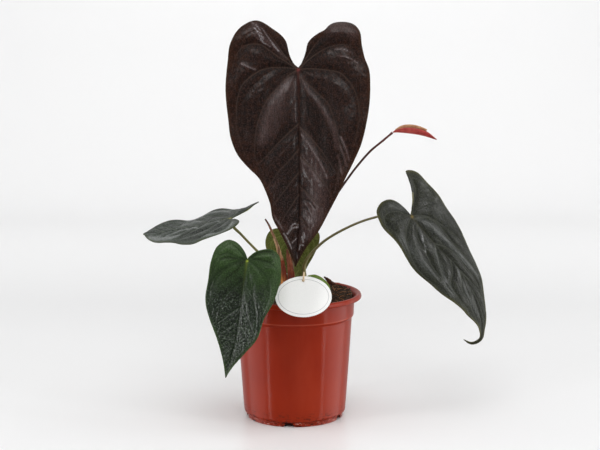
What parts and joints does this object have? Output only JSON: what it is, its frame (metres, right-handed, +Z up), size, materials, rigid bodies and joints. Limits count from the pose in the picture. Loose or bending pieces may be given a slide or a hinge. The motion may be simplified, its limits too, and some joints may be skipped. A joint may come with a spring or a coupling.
{
  "type": "potted anthurium",
  "caption": "Dark-leaved anthurium with heart-shaped leaves and a slender red flower, growing in soil in a round plastic nursery pot, with a blank oval card tied on.",
  "frame": {"origin": "middle of the flat disc under the pot, on the surface the pot stands on", "axes": "+Z up; -Y towards the front, which the large dark leaf faces; +X towards the side of the flower and the long hanging leaf"},
  "size_m": [0.3099, 0.1446, 0.3545],
  "materials": {
    "terracotta_plastic": "satin",
    "potting_mix": "matte",
    "crown_bark": "matte",
    "burgundy_leaf": "satin",
    "charcoal_leaf": "satin",
    "silver_green_leaf": "satin",
    "deep_green_leaf": "satin",
    "olive_leaf": "satin",
    "young_leaf": "satin",
    "petiole_skin": "satin",
    "peduncle_skin": "satin",
    "spathe_skin": "satin",
    "spadix_skin": "matte",
    "dry_sheath": "matte",
    "white_card": "matte",
    "jute": "matte"
  },
  "bodies": {
    "root": {"pot": "terracotta_plastic", "soil": "potting_mix", "crown_stem": "crown_bark", "leaf_front": "burgundy_leaf", "leaf_right": "charcoal_leaf", "leaf_left": "silver_green_leaf", "leaf_lower_left": "deep_green_leaf", "leaf_back": "olive_leaf", "leaf_small": "young_leaf", "petiole_front": "petiole_skin", "petiole_right": "petiole_skin", "petiole_left": "petiole_skin", "petiole_lower_left": "petiole_skin", "petiole_back": "petiole_skin", "petiole_small": "petiole_skin", "peduncle": "peduncle_skin", "spathe": "spathe_skin", "spadix": "spadix_skin", "cataphyll_tall": "dry_sheath", "cataphyll_short": "dry_sheath", "cataphyll_back": "dry_sheath", "tag": "white_card", "tag_twine": "jute"}
  },
  "joints": []
}
